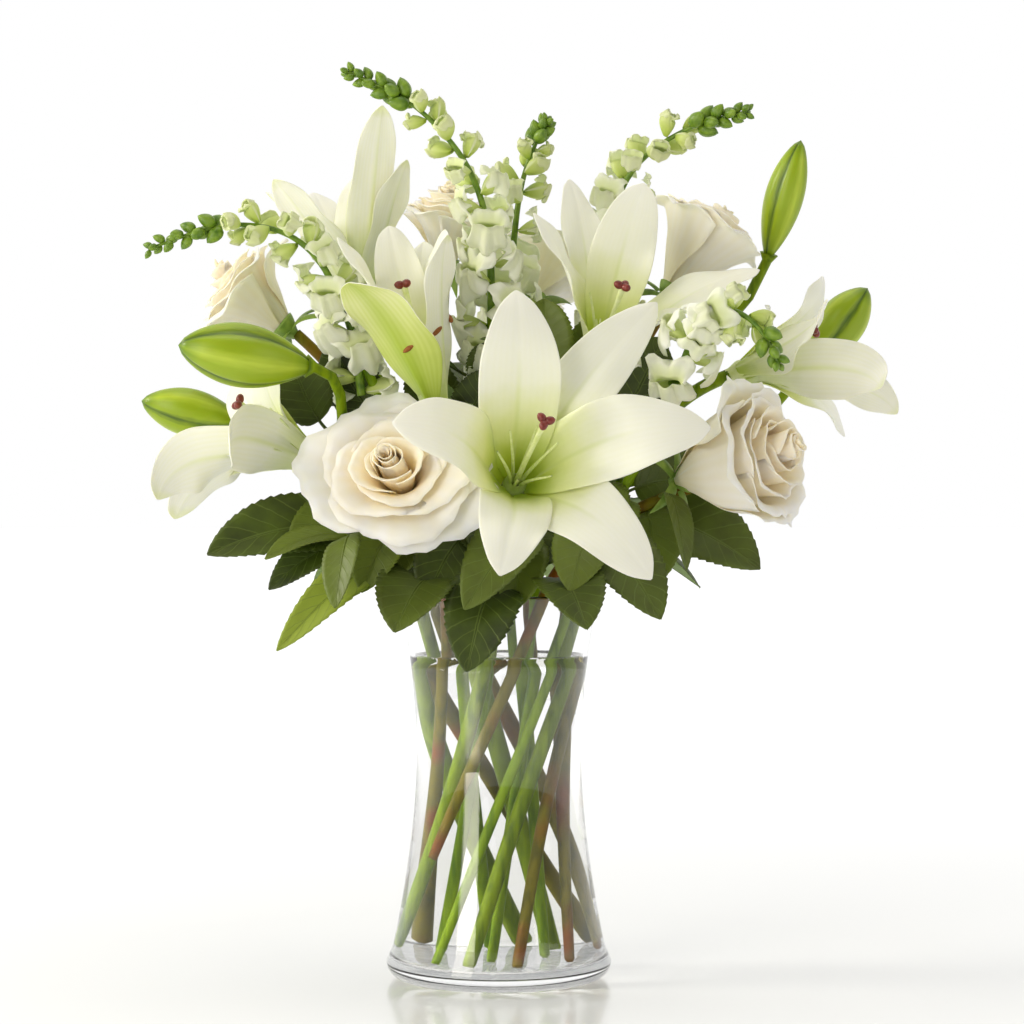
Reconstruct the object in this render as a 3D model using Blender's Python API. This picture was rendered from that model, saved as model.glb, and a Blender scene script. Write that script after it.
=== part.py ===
"""A bouquet of lilies, roses and snapdragons standing in a flared glass vase.

Each bloom, bud, leaf and stem is a plain closed solid of the right size in the right place.
The origin is the centre of the vase's flat underside, +Z is up and -Y is the front.
"""
from math import atan2, cos, pi, radians, sin, tan

import bmesh
import bpy
from mathutils import Vector
from mathutils.geometry import interpolate_bezier

MM = 0.001

# Vase, in mm: outside, the foot is round up to VASE_FOOT_ROUND; inside, the corner is round above the floor
VASE_HEIGHT = 205.0
VASE_FOOT_RADIUS = 60.5
VASE_WAIST_RADIUS = 44.0
VASE_WAIST_SHARE = 0.58
VASE_RIM_RADIUS = 53.5
VASE_REST_RADIUS = 51.0
VASE_FOOT_ROUND = 10.0
VASE_WALL = 2.8
VASE_FLOOR = 9.0
VASE_CORNER_RADIUS = 7.0
VASE_SEGMENTS = 40

# Stems, in mm and degrees: stems lean round two rings, each from its foot to its mouth by RING_TURN
LILY_STEM_RADIUS = 3.8
ROSE_STEM_RADIUS = 3.1
SNAPDRAGON_STEM_RADIUS = 2.6
PEDICEL_RADIUS = 2.6
OUTER_RING_MARGIN_FOOT = 17.5
OUTER_RING_MARGIN_MOUTH = 9.5
INNER_RING_FOOT = 24.0
INNER_RING_MOUTH = 20.0
RING_TURN = 108.0
RAISED_TURN = 24.0
CLEARANCE = 0.35
STEM_PULL = 0.4
BLOOM_PULL = 0.35
BRANCH_RISE = 0.6
BRANCH_END_RADIUS = 1.2

# Petals and leaves, in mm
TEPAL_THICKNESS = 1.1
TEPAL_WIDTH = 41.0
TEPAL_WIDEST = 0.56
TEPAL_START_RADIUS = 5.6
TEPAL_CUP = 0.3
RECEPTACLE_RADIUS = 4.5
RECEPTACLE_LENGTH = 2.0
LEAF_THICKNESS = 0.9
LEAF_STALK = 0.2
LEAF_FOLD = 0.25

# Where each bloom sits: mm from the centre of the vase's rim. A tepal is given by its tip.
LILIES = {
    "lily_1": dict(
        base=(8, -64, 57), axis=(0.15, -0.92, 0.35), stigma=(23, -140, 88),
        tips=(
            (9, -100, 155), (81, -72, 151), (106, -107, 86),
            (75, -137, 11), (1, -147, 13), (-51, -147, 87),
        ),
    ),
    "lily_2": dict(
        base=(52, -22, 124), axis=(0.25, -0.4, 0.88), stigma=(64, -62, 160),
        tips=(
            (18, -48, 199), (38, 14, 224), (76, -35, 216),
            (138, -20, 172), (113, -58, 150), (62, -62, 118),
        ),
    ),
    "lily_3": dict(
        base=(-32, -40, 98), axis=(-0.22, -0.1, 0.97), stigma=(-49, -48, 162),
        tips=(
            (-74, -82, 160), (-82, -36, 187), (-57, -14, 197),
            (-36, -8, 186), (-24, -40, 190), (-30, -80, 180),
        ),
    ),
    "lily_4": dict(
        base=(-93, -34, 70), axis=(-0.85, -0.3, 0.42), stigma=(-134, -56, 100),
        tips=(
            (-175, -62, 50), (-172, -12, 40), (-150, 32, 66),
            (-138, 14, 126), (-116, -30, 134), (-134, -98, 74),
        ),
    ),
    "lily_5": dict(
        base=(-76, 32, 159), axis=(-0.1, 0.25, 0.96), stigma=(-80, 52, 222),
        tips=(
            (-63, 14, 264), (-50, 26, 236), (-74, 88, 240),
            (-106, 96, 226), (-130, 58, 222), (-122, 14, 224),
        ),
    ),
    "lily_6": dict(
        base=(128, 5, 119), axis=(0.88, -0.12, 0.25), stigma=(168, -8, 141),
        tips=(
            (176, 18, 171), (168, -52, 150), (198, -52, 108),
            (212, -10, 96), (190, 40, 86), (150, 64, 156),
        ),
    ),
}
LILY_BUDS = {
    "lily_bud_1": dict(stem="lily_stem_1", height=66, base=(-94, -64, 118), tip=(-161, -90, 128), radius=15),
    "lily_bud_2": dict(stem="lily_stem_1", height=40, base=(-138, 24, 92), tip=(-193, 12, 104), radius=12),
    "lily_bud_3": dict(stem="lily_stem_2", height=96, base=(147, 40, 182), tip=(164, 22, 245), radius=12),
    "lily_bud_4": dict(stem="lily_stem_2", height=60, base=(176, 88, 128), tip=(205, 78, 168), radius=10),
}
ROSES = {
    "rose_1": dict(centre=(-56, -82, 63), axis=(-0.08, -0.95, 0.3), radius=47, length=56),
    "rose_2": dict(centre=(134, -58, 72), axis=(0.62, -0.72, 0.3), radius=37, length=62),
    "rose_3": dict(centre=(112, 18, 187), axis=(0.55, 0.1, 0.8), radius=31, length=64),
    "rose_4": dict(centre=(-134, 38, 160), axis=(-0.75, -0.1, 0.6), radius=31, length=56),
    "rose_5": dict(centre=(-29, 64, 206), axis=(0.05, -0.2, 0.97), radius=28, length=54),
    "rose_6": dict(centre=(24, 92, 178), axis=(0.2, 0.72, 0.66), radius=32, length=56),
}
SNAPDRAGONS = {
    "snapdragon_1": (
        (-77, -8, 135), (-86, -10, 160), (-99, -14, 182),
        (-121, -20, 194), (-149, -26, 194), (-184, -30, 182),
    ),
    "snapdragon_2": (
        (-4, -6, 150), (-5, -10, 185), (-12, -16, 218),
        (-30, -20, 245), (-52, -24, 263), (-80, -26, 276),
    ),
    "snapdragon_3": (
        (62, 52, 168), (62, 50, 200), (70, 46, 228),
        (90, 40, 247), (112, 32, 257), (135, 25, 262),
    ),
    "snapdragon_4": (
        (92, -56, 110), (99, -72, 131), (108, -83, 143),
        (119, -90, 145), (131, -94, 136), (141, -96, 118),
    ),
    "snapdragon_5": (
        (6, 30, 150), (7, 34, 180), (10, 36, 210),
        (14, 36, 230), (20, 36, 246), (26, 34, 258),
    ),
}
SPIKE_RADII = (7.0, 15.0, 15.0, 12.0, 8.0, 2.0)

# Every stem: its ring in the vase, its angle there, and how far its cut end is above the floor
STEMS = {
    "lily_stem_1": dict(ring="outer", angle=188, foot=0, radius=LILY_STEM_RADIUS),
    "lily_stem_2": dict(ring="outer", angle=-2, foot=0, radius=LILY_STEM_RADIUS),
    "lily_stem_3": dict(ring="outer", angle=-88, foot=0, radius=LILY_STEM_RADIUS),
    "lily_stem_4": dict(ring="inner", angle=140, foot=0, radius=LILY_STEM_RADIUS),
    "rose_stem_1": dict(ring="outer", angle=232, foot=0, radius=ROSE_STEM_RADIUS),
    "rose_stem_2": dict(ring="outer", angle=-58, foot=56, radius=ROSE_STEM_RADIUS),
    "rose_stem_3": dict(ring="outer", angle=30, foot=0, radius=ROSE_STEM_RADIUS),
    "rose_stem_4": dict(ring="outer", angle=152, foot=0, radius=ROSE_STEM_RADIUS),
    "rose_stem_5": dict(ring="outer", angle=114, foot=0, radius=ROSE_STEM_RADIUS),
    "rose_stem_6": dict(ring="outer", angle=70, foot=0, radius=ROSE_STEM_RADIUS),
    "snapdragon_stem_1": dict(ring="inner", angle=205, foot=0, radius=SNAPDRAGON_STEM_RADIUS),
    "snapdragon_stem_2": dict(ring="inner", angle=270, foot=0, radius=SNAPDRAGON_STEM_RADIUS),
    "snapdragon_stem_3": dict(ring="inner", angle=10, foot=0, radius=SNAPDRAGON_STEM_RADIUS),
    "snapdragon_stem_4": dict(ring="outer", angle=-27, foot=0, radius=SNAPDRAGON_STEM_RADIUS),
    "snapdragon_stem_5": dict(ring="inner", angle=75, foot=0, radius=SNAPDRAGON_STEM_RADIUS),
}
LILY_ON_STEM = {
    "lily_stem_1": "lily_4",
    "lily_stem_2": "lily_6",
    "lily_stem_3": "lily_2",
    "lily_stem_4": "lily_5",
}
PEDICELS = {
    "lily_1_pedicel": dict(stem="lily_stem_3", height=14, lily="lily_1"),
    "lily_3_pedicel": dict(stem="lily_stem_4", height=48, lily="lily_3"),
}
LEAVES = {
    "leaf_1": dict(stem="lily_stem_1", height=26, tip=(-151, -48, 22), width=36),
    "leaf_2": dict(stem="rose_stem_1", height=14, tip=(-112, -84, -26), width=20),
    "leaf_3": dict(stem="rose_stem_1", height=6, tip=(-52, -98, -16), width=38),
    "leaf_4": dict(stem="lily_stem_3", height=5, tip=(-16, -96, -36), width=37),
    "leaf_5": dict(stem="rose_stem_2", height=4, tip=(44, -112, -14), width=34),
    "leaf_6": dict(stem="rose_stem_2", height=24, tip=(82, -88, -10), width=34),
    "leaf_7": dict(stem="lily_stem_2", height=34, tip=(138, -22, 14), width=40),
    "leaf_8": dict(stem="rose_stem_6", height=12, tip=(40, 112, 2), width=40),
    "leaf_9": dict(stem="rose_stem_4", height=14, tip=(-92, 82, 6), width=40),
}


def material(name, colour, roughness, transmission=0.0):
    made = bpy.data.materials.new(name)
    made.use_nodes = True
    shader = made.node_tree.nodes["Principled BSDF"]
    shader.inputs["Base Color"].default_value = (*colour, 1.0)
    shader.inputs["Roughness"].default_value = roughness
    shader.inputs["Transmission Weight"].default_value = transmission
    return made


def add_object(name, data, finish):
    data.materials.append(finish)
    made = bpy.data.objects.new(name, data)
    bpy.context.scene.collection.objects.link(made)
    return made


def above_rim(point):
    """A place given from the centre of the rim, as one from the vase's underside."""
    return Vector(point) + Vector((0, 0, VASE_HEIGHT))


def curve_points(start, start_pull, end_pull, end, count):
    return interpolate_bezier(start, start_pull, end_pull, end, count)


def smooth_route(points, count):
    """A smooth line through the points, by cubic pieces with count steps each."""
    route = []
    for i in range(len(points) - 1):
        before = points[max(i - 1, 0)]
        after = points[min(i + 2, len(points) - 1)]
        start_pull = points[i] + (points[i + 1] - before) / 6
        end_pull = points[i + 1] - (after - points[i]) / 6
        piece = curve_points(points[i], start_pull, end_pull, points[i + 1], count + 1)
        route += piece if not route else piece[1:]
    return route


def add_tube(name, route, radii, finish, sides=8):
    """A round closed rod along the route, with its own radius at each point."""
    curve = bpy.data.curves.new(name, "CURVE")
    curve.dimensions = "3D"
    curve.bevel_depth = MM
    curve.bevel_resolution = sides // 2 - 2
    curve.use_fill_caps = True
    spline = curve.splines.new("POLY")
    spline.points.add(len(route) - 1)
    for point, place, radius in zip(spline.points, route, radii):
        point.co = (*(place * MM), 1.0)
        point.radius = radius
    return add_object(name, curve, finish)


def vase_radius(height):
    """The outside radius: the foot narrows to the waist, then the wall flares to the rim."""
    waist_height = VASE_WAIST_SHARE * VASE_HEIGHT
    if height < waist_height:
        share = (waist_height - height) / waist_height
        growth = 1.1 * share ** 1.75 / (1 + 0.1 * share)
        return VASE_WAIST_RADIUS + (VASE_FOOT_RADIUS - VASE_WAIST_RADIUS) * growth
    share = (height - waist_height) / (VASE_HEIGHT - waist_height)
    return VASE_WAIST_RADIUS + (VASE_RIM_RADIUS - VASE_WAIST_RADIUS) * share ** 1.9


def add_vase(finish):
    """Turned glass: a rounded heavy foot, a narrow waist and a flared, rounded rim."""
    lip = VASE_HEIGHT - VASE_WALL / 2
    bulge = VASE_REST_RADIUS + 0.8 * (VASE_FOOT_RADIUS - VASE_REST_RADIUS)
    profile = [(0, 0), (VASE_REST_RADIUS, 0), (bulge, 0.26 * VASE_FOOT_ROUND)]
    for step in range(9):
        height = VASE_FOOT_ROUND + step / 8 * (lip - VASE_FOOT_ROUND)
        profile.append((vase_radius(height), height))
    profile.append((VASE_RIM_RADIUS - VASE_WALL / 2, VASE_HEIGHT))
    corner = VASE_FLOOR + VASE_CORNER_RADIUS
    for step in range(8):
        height = lip - step / 7 * (lip - corner)
        profile.append((vase_radius(height) - VASE_WALL, height))
    wall = vase_radius(corner) - VASE_WALL
    profile.append((wall - 0.29 * VASE_CORNER_RADIUS, VASE_FLOOR + 0.34 * VASE_CORNER_RADIUS))
    profile += [(wall - 0.86 * VASE_CORNER_RADIUS, VASE_FLOOR), (0, VASE_FLOOR)]
    mesh = bmesh.new()
    points = [mesh.verts.new(Vector((r, 0, z)) * MM) for r, z in profile]
    edges = [mesh.edges.new(pair) for pair in zip(points, points[1:])]
    bmesh.ops.spin(
        mesh, geom=points + edges, cent=(0, 0, 0), axis=(0, 0, 1), angle=2 * pi, steps=VASE_SEGMENTS,
        use_merge=True,
    )
    bmesh.ops.remove_doubles(mesh, verts=mesh.verts, dist=0.01 * MM)
    bmesh.ops.recalc_face_normals(mesh, faces=mesh.faces)
    data = bpy.data.meshes.new("vase")
    mesh.to_mesh(data)
    mesh.free()
    data.shade_smooth()
    return add_object("vase", data, finish)


def polar(radius, angle, height):
    return Vector((radius * cos(radians(angle)), radius * sin(radians(angle)), height))


def stem_route(stem, top, direction):
    """Straight from its foot to the vase's mouth, leaning like its ring, then a bend to its bloom."""
    foot_ring, mouth_ring = INNER_RING_FOOT, INNER_RING_MOUTH
    if stem["ring"] == "outer":
        foot_ring = VASE_FOOT_RADIUS - OUTER_RING_MARGIN_FOOT
        mouth_ring = VASE_RIM_RADIUS - OUTER_RING_MARGIN_MOUTH
    foot_height = VASE_FLOOR + stem["foot"]
    turn = RING_TURN
    if stem["foot"]:
        foot_ring = vase_radius(foot_height) - VASE_WALL - stem["radius"] - 2 * CLEARANCE
        turn -= RAISED_TURN
    foot = polar(foot_ring, stem["angle"] - turn, foot_height)
    mouth = polar(mouth_ring, stem["angle"], VASE_HEIGHT)
    lean = (mouth - foot).normalized()
    foot.z += CLEARANCE + stem["radius"] * lean.xy.length
    reach = (top - mouth).length
    bend = curve_points(
        mouth, mouth + lean * reach * STEM_PULL, top - direction * reach * BLOOM_PULL, top, 10
    )
    return [foot, foot.lerp(mouth, 0.5)] + bend


def place_at_height(route, height):
    """Where a route passes a height above the rim, and its direction there."""
    level = VASE_HEIGHT + height
    for low, high in zip(route, route[1:]):
        if low.z <= level <= high.z:
            return low.lerp(high, (level - low.z) / (high.z - low.z)), (high - low).normalized()
    return route[-1], (route[-1] - route[-2]).normalized()


def branch_start(route, radius, end_radius, height, target):
    """A branch starts beside its stem on the side of its target and leans upwards, clear of the stem."""
    place, along = place_at_height(route, height)
    out = target - place
    out = (out - along * out.dot(along)).normalized()
    away = (out + along * BRANCH_RISE).normalized()
    return place + out * (radius + CLEARANCE + end_radius * away.dot(along)), away


def add_stem(name, route, radius, finish):
    radii = [radius] * len(route)
    radii[0] = radius * 0.94
    return add_tube(name, route, radii, finish)


def tepal_grid(lily, tip, across, rows, most_turn):
    """Rows of points from the base to the tip; the width runs square to the plane of axis and tip."""
    base = above_rim(lily["base"])
    axis = Vector(lily["axis"]).normalized()
    tip = above_rim(tip)
    out = tip - base
    out = (out - axis * out.dot(axis)).normalized()
    wide = axis.cross(out)
    reach = (tip - base).length
    spread = min(reach * 0.42, (tip - base).dot(out) * 0.5)
    start = base + out * TEPAL_START_RADIUS
    start_pull = start + axis * reach * 0.42 + out * reach * 0.03
    tip_pull = tip - out * spread + axis * reach * 0.06
    middle = curve_points(start, start_pull, tip_pull, tip, rows)
    grid = []
    for row, centre in enumerate(middle):
        share = row / (rows - 1)
        ahead = middle[min(row + 1, rows - 1)] - middle[max(row - 1, 0)]
        inward = wide.cross(ahead).normalized()
        if inward.dot(out) > 0:
            inward.negate()
        from_axis = (centre - base) - axis * (centre - base).dot(axis)
        half = TEPAL_WIDTH / 2 * tepal_outline(share)
        half = min(half, from_axis.length * tan(most_turn) * 0.84)
        grid.append([centre + (wide * side + inward * TEPAL_CUP * side * side) * half for side in across])
    return grid


def tepal_outline(share):
    """The half width along a tepal, as a share of its widest: narrow at the base, widest past the middle."""
    if share < TEPAL_WIDEST:
        return 0.2 + 0.8 * sin(pi / 2 * share / TEPAL_WIDEST)
    return max(cos(pi / 2 * (share - TEPAL_WIDEST) / (1 - TEPAL_WIDEST)) ** 0.75, 0.06)


def tepal_angles(lily):
    """Each tepal's angle round the bloom's axis, and half the turn to its nearer neighbour."""
    axis = Vector(lily["axis"]).normalized()
    side = axis.orthogonal().normalized()
    other = axis.cross(side)
    angles = []
    for tip in lily["tips"]:
        out = Vector(tip) - Vector(lily["base"])
        angles.append(atan2(out.dot(other), out.dot(side)))
    turns = []
    for angle in angles:
        gaps = sorted(abs((angle - one + pi) % (2 * pi) - pi) for one in angles)
        turns.append(min(gaps[1] / 2, radians(32)))
    return angles, turns


def add_sheet(name, mesh, thickness, finish):
    """A thin closed shell from a sheet of faces."""
    bmesh.ops.recalc_face_normals(mesh, faces=mesh.faces)
    data = bpy.data.meshes.new(name)
    mesh.to_mesh(data)
    mesh.free()
    data.shade_smooth()
    made = add_object(name, data, finish)
    shell = made.modifiers.new("thickness", "SOLIDIFY")
    shell.thickness = thickness * MM
    shell.offset = 0.0
    return made


def fill_grid(mesh, grid):
    for low, high in zip(grid, grid[1:]):
        for i in range(len(low) - 1):
            mesh.faces.new((low[i], low[i + 1], high[i + 1], high[i]))


def add_tepal(name, lily, tip, turn, finish):
    mesh = bmesh.new()
    points = tepal_grid(lily, tip, (-1, -0.5, 0, 0.5, 1), 8, turn)
    fill_grid(mesh, [[mesh.verts.new(point * MM) for point in row] for row in points])
    return add_sheet(name, mesh, TEPAL_THICKNESS, finish)


def add_perianth(name, lily, finish):
    """All six tepals of a bloom as one shell, joined in a short cup at the base."""
    base = above_rim(lily["base"])
    axis = Vector(lily["axis"]).normalized()
    angles, turns = tepal_angles(lily)
    side = axis.orthogonal().normalized()
    other = axis.cross(side)
    order = sorted(range(len(angles)), key=lambda i: angles[i])
    mesh = bmesh.new()
    heart = mesh.verts.new(base * MM)
    shared = []
    for place, i in enumerate(order):
        after = angles[order[(place + 1) % len(order)]]
        middle = angles[i] + ((after - angles[i]) % (2 * pi)) / 2
        out = side * cos(middle) + other * sin(middle)
        shared.append(mesh.verts.new((base + out * TEPAL_START_RADIUS + axis * 2) * MM))
    for place, i in enumerate(order):
        grid = tepal_grid(lily, lily["tips"][i], (-1, 0, 1), 7, turns[i])
        left, right = shared[place - 1], shared[place]
        rows = [[left, mesh.verts.new((grid[0][1] + axis * 1.5) * MM), right]]
        rows += [[mesh.verts.new(point * MM) for point in row] for row in grid[1:]]
        fill_grid(mesh, rows)
        mesh.faces.new((heart, rows[0][1], rows[0][0]))
        mesh.faces.new((heart, rows[0][2], rows[0][1]))
    return add_sheet(name, mesh, TEPAL_THICKNESS, finish)


def add_pistil(name, lily, finish):
    """A thin style from the bloom's heart, with a knob of a stigma."""
    base = above_rim(lily["base"])
    axis = Vector(lily["axis"]).normalized()
    tip = above_rim(lily["stigma"])
    start = base + axis * (TEPAL_THICKNESS + 1.4 * CLEARANCE)
    reach = (tip - start).length
    route = curve_points(start, start + axis * reach * 0.4, tip - axis * reach * 0.2, tip, 8)
    return add_tube(name, route, (1.5, 1.6, 1.3, 1.1, 1.1, 1.2, 2.4, 2.6), finish, sides=6)


def add_bud(name, bud, route, stem_radius, finish):
    """A bud and its short stalk: three-cornered in life, plain and round here, widest in the middle."""
    base, tip = above_rim(bud["base"]), above_rim(bud["tip"])
    start, away = branch_start(route, stem_radius, BRANCH_END_RADIUS, bud["height"], base)
    along = (tip - base).normalized()
    reach = (base - start).length
    stalk = curve_points(
        start, start + away * reach * BLOOM_PULL, base - along * reach * BLOOM_PULL, base, 6
    )
    shape = ((0.1, 0.55), (0.25, 0.82), (0.45, 1.0), (0.65, 0.92), (0.82, 0.66), (0.94, 0.34), (1.0, 0.1))
    body = [base.lerp(tip, share) for share, _ in shape]
    radii = [BRANCH_END_RADIUS] + [PEDICEL_RADIUS] * 5 + [bud["radius"] * width for _, width in shape]
    return add_tube(name, stalk + body, radii, finish, sides=10)


def add_rose_head(name, rose, finish):
    """A full rose as a rounded cup: closed at the calyx, widest past the middle, low domed heart."""
    centre = above_rim(rose["centre"])
    axis = Vector(rose["axis"]).normalized()
    side = axis.orthogonal().normalized()
    other = axis.cross(side)
    length, radius = rose["length"], rose["radius"]
    shape = ((-0.5, 0.18), (-0.36, 0.55), (-0.16, 0.8), (0.06, 0.95), (0.24, 1.0), (0.36, 0.86), (0.46, 0.5))
    segments = 14
    mesh = bmesh.new()
    rings = []
    for along, width in shape:
        ring = []
        for step in range(segments):
            turn = 2 * pi * step / segments
            out = side * cos(turn) + other * sin(turn)
            ring.append(mesh.verts.new((centre + axis * along * length + out * radius * width) * MM))
        rings.append(ring)
    for low, high in zip(rings, rings[1:]):
        for i in range(segments):
            after = (i + 1) % segments
            mesh.faces.new((low[i], low[after], high[after], high[i]))
    mesh.faces.new(reversed(rings[0]))
    top = mesh.verts.new((centre + axis * length / 2) * MM)
    for i in range(segments):
        mesh.faces.new((rings[-1][i], rings[-1][(i + 1) % segments], top))
    bmesh.ops.recalc_face_normals(mesh, faces=mesh.faces)
    data = bpy.data.meshes.new(name)
    mesh.to_mesh(data)
    mesh.free()
    data.shade_smooth()
    return add_object(name, data, finish)


def rose_foot(rose):
    axis = Vector(rose["axis"]).normalized()
    return above_rim(rose["centre"]) - axis * (rose["length"] / 2 + 2 * CLEARANCE), axis


def add_spike(name, places, finish):
    """The flowering end of a snapdragon: a swollen, tapering sleeve the size of its florets."""
    points = [above_rim(place) for place in places]
    route = smooth_route(points, 2)
    radii = []
    for step in range(len(route)):
        low, part = divmod(step, 2)
        high = min(low + 1, len(SPIKE_RADII) - 1)
        radii.append(SPIKE_RADII[low] + (SPIKE_RADII[high] - SPIKE_RADII[low]) * part / 2)
    return add_tube(name, route, radii, finish, sides=10)


def add_leaf(name, leaf, route, stem_radius, finish):
    """A folded blade on a short stalk, drooping from its stem to its tip."""
    tip = above_rim(leaf["tip"])
    start, away = branch_start(route, stem_radius, LEAF_THICKNESS, leaf["height"], tip)
    reach = (tip - start).length
    up = Vector((0, 0, 1))
    tip_pull = tip - (tip - start) * 0.25 + up * reach * 0.1
    middle = curve_points(start, start + away * reach * 0.45, tip_pull, tip, 9)
    mesh = bmesh.new()
    grid = []
    for row, centre in enumerate(middle):
        share = row / (len(middle) - 1)
        ahead = (middle[min(row + 1, 8)] - middle[max(row - 1, 0)]).normalized()
        wide = ahead.cross(up).normalized()
        lift = wide.cross(ahead) * LEAF_FOLD
        half = leaf["width"] / 2 * leaf_outline(share)
        points = [centre + (wide * side + lift * abs(side)) * half for side in (-1, 0, 1)]
        grid.append([mesh.verts.new(point * MM) for point in points])
    fill_grid(mesh, grid)
    return add_sheet(name, mesh, LEAF_THICKNESS, finish)


def leaf_outline(share):
    """A thin stalk for a fifth of the length, then an oval blade."""
    if share < LEAF_STALK:
        return 0.05
    return max(sin(pi * min((share - LEAF_STALK) / (1 - LEAF_STALK), 1.0)) ** 0.8, 0.05)


def build():
    for old in list(bpy.data.objects):
        bpy.data.objects.remove(old)
    glass = material("clear glass", (0.95, 0.98, 0.97), 0.03, 1.0)
    lily_white = material("lily petal", (0.9, 0.9, 0.82), 0.45)
    rose_ivory = material("rose petal", (0.92, 0.86, 0.76), 0.5)
    snap_white = material("snapdragon floret", (0.86, 0.9, 0.72), 0.5)
    bud_green = material("green bud", (0.35, 0.5, 0.07), 0.4)
    stem_green = material("green stem", (0.2, 0.36, 0.07), 0.5)
    leaf_green = material("rose leaf", (0.05, 0.15, 0.04), 0.45)
    style_green = material("lily style", (0.6, 0.7, 0.35), 0.4)

    add_vase(glass)

    tops = {}
    for stem, lily in LILY_ON_STEM.items():
        axis = Vector(LILIES[lily]["axis"]).normalized()
        tops[stem] = (above_rim(LILIES[lily]["base"]) - axis * (TEPAL_THICKNESS / 2 + 2 * CLEARANCE), axis)
    for name, rose in ROSES.items():
        tops[name.replace("rose", "rose_stem")] = rose_foot(rose)
    for name, places in SNAPDRAGONS.items():
        first, second = above_rim(places[0]), above_rim(places[1])
        along = (second - first).normalized()
        tops[name.replace("snapdragon", "snapdragon_stem")] = (first - along * CLEARANCE, along)
    routes = {}
    for name, stem in STEMS.items():
        routes[name] = stem_route(stem, *tops[name])
        add_stem(name, routes[name], stem["radius"], stem_green)

    for name, pedicel in PEDICELS.items():
        lily = LILIES[pedicel["lily"]]
        axis = Vector(lily["axis"]).normalized()
        end = above_rim(lily["base"]) - axis * (TEPAL_THICKNESS / 2 + 2 * CLEARANCE)
        radius = STEMS[pedicel["stem"]]["radius"]
        start, away = branch_start(routes[pedicel["stem"]], radius, BRANCH_END_RADIUS, pedicel["height"], end)
        reach = (end - start).length
        route = curve_points(
            start, start + away * reach * BLOOM_PULL, end - axis * reach * BLOOM_PULL, end, 9
        )
        radii = [BRANCH_END_RADIUS] + [PEDICEL_RADIUS] * 8
        if pedicel["lily"] == "lily_1":
            route.append(end + axis * RECEPTACLE_LENGTH)
            radii[-1:] = [RECEPTACLE_RADIUS, RECEPTACLE_RADIUS]
        add_tube(name, route, radii, stem_green)

    hero = LILIES["lily_1"]
    _, turns = tepal_angles(hero)
    for i, tip in enumerate(hero["tips"]):
        add_tepal(f"lily_1_tepal_{i + 1}", hero, tip, turns[i], lily_white)
    for name, lily in LILIES.items():
        if lily is not hero:
            add_perianth(f"{name}_tepals", lily, lily_white)
        if name != "lily_5":
            add_pistil(f"{name}_pistil", lily, style_green)

    for name, bud in LILY_BUDS.items():
        add_bud(name, bud, routes[bud["stem"]], STEMS[bud["stem"]]["radius"], bud_green)
    for name, rose in ROSES.items():
        add_rose_head(f"{name}_head", rose, rose_ivory)
    for name, places in SNAPDRAGONS.items():
        add_spike(f"{name}_florets", places, snap_white)
    for name, leaf in LEAVES.items():
        add_leaf(name, leaf, routes[leaf["stem"]], STEMS[leaf["stem"]]["radius"], leaf_green)


build()
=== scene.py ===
"""White lilies, ivory roses and snapdragons in a flared glass vase, dressed round the CAD frame."""
import random
from math import cos, exp, floor as whole, pi, radians, sin

import bmesh
import bpy
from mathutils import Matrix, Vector


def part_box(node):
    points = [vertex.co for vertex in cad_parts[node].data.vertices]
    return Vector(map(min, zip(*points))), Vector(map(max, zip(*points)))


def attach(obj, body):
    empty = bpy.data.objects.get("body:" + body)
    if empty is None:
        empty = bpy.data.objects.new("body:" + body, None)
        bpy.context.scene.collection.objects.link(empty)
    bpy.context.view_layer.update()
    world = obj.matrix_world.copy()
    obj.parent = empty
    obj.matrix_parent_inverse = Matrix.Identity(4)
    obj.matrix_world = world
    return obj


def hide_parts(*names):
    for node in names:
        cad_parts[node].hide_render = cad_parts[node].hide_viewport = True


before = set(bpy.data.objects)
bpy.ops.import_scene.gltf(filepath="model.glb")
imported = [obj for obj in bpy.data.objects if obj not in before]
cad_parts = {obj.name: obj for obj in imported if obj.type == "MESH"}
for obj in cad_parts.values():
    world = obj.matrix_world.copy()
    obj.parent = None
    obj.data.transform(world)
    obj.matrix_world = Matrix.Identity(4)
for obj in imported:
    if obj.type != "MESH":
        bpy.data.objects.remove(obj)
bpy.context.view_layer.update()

# The studio: a level camera with a long lens, a pale glossy floor, and soft light from all round that is
# dimmer at the front. The floor carries a painted glow, faint near the vase and brighter further back, so
# that it fades into the white backdrop. A tall softbox stands front left, a small lamp far left, a weak fill
# on the right and a broad lamp above.
MM = 0.001
scene = bpy.context.scene
scene.view_settings.view_transform = "Standard"
lens = bpy.data.cameras.new("camera")
lens.lens = 98.5
lens.sensor_width = 36
camera = bpy.data.objects.new("camera", lens)
camera.location = (0.007, -1.5, 0.249)
camera.rotation_euler = (radians(90), 0, 0)
scene.collection.objects.link(camera)
scene.camera = camera


def linear(colour):
    """An sRGB hex colour as linear red, green, blue and a full alpha."""
    parts = [int(colour[i:i + 2], 16) / 255 for i in (1, 3, 5)]
    return [c / 12.92 if c <= 0.04045 else ((c + 0.055) / 1.055) ** 2.4 for c in parts] + [1.0]


def add_node(tree, kind, settings=(), inputs=()):
    """Adds one node. Settings are its properties. An input takes a socket, as a link, or a plain value."""
    made = tree.nodes.new(kind)
    for name, value in dict(settings).items():
        setattr(made, name, value)
    for name, value in dict(inputs).items():
        if isinstance(value, bpy.types.NodeSocket):
            tree.links.new(value, made.inputs[name])
        else:
            made.inputs[name].default_value = value
    return made


def maths(tree, operation, *values):
    return add_node(tree, "ShaderNodeMath", {"operation": operation}, enumerate(values)).outputs[0]


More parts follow.
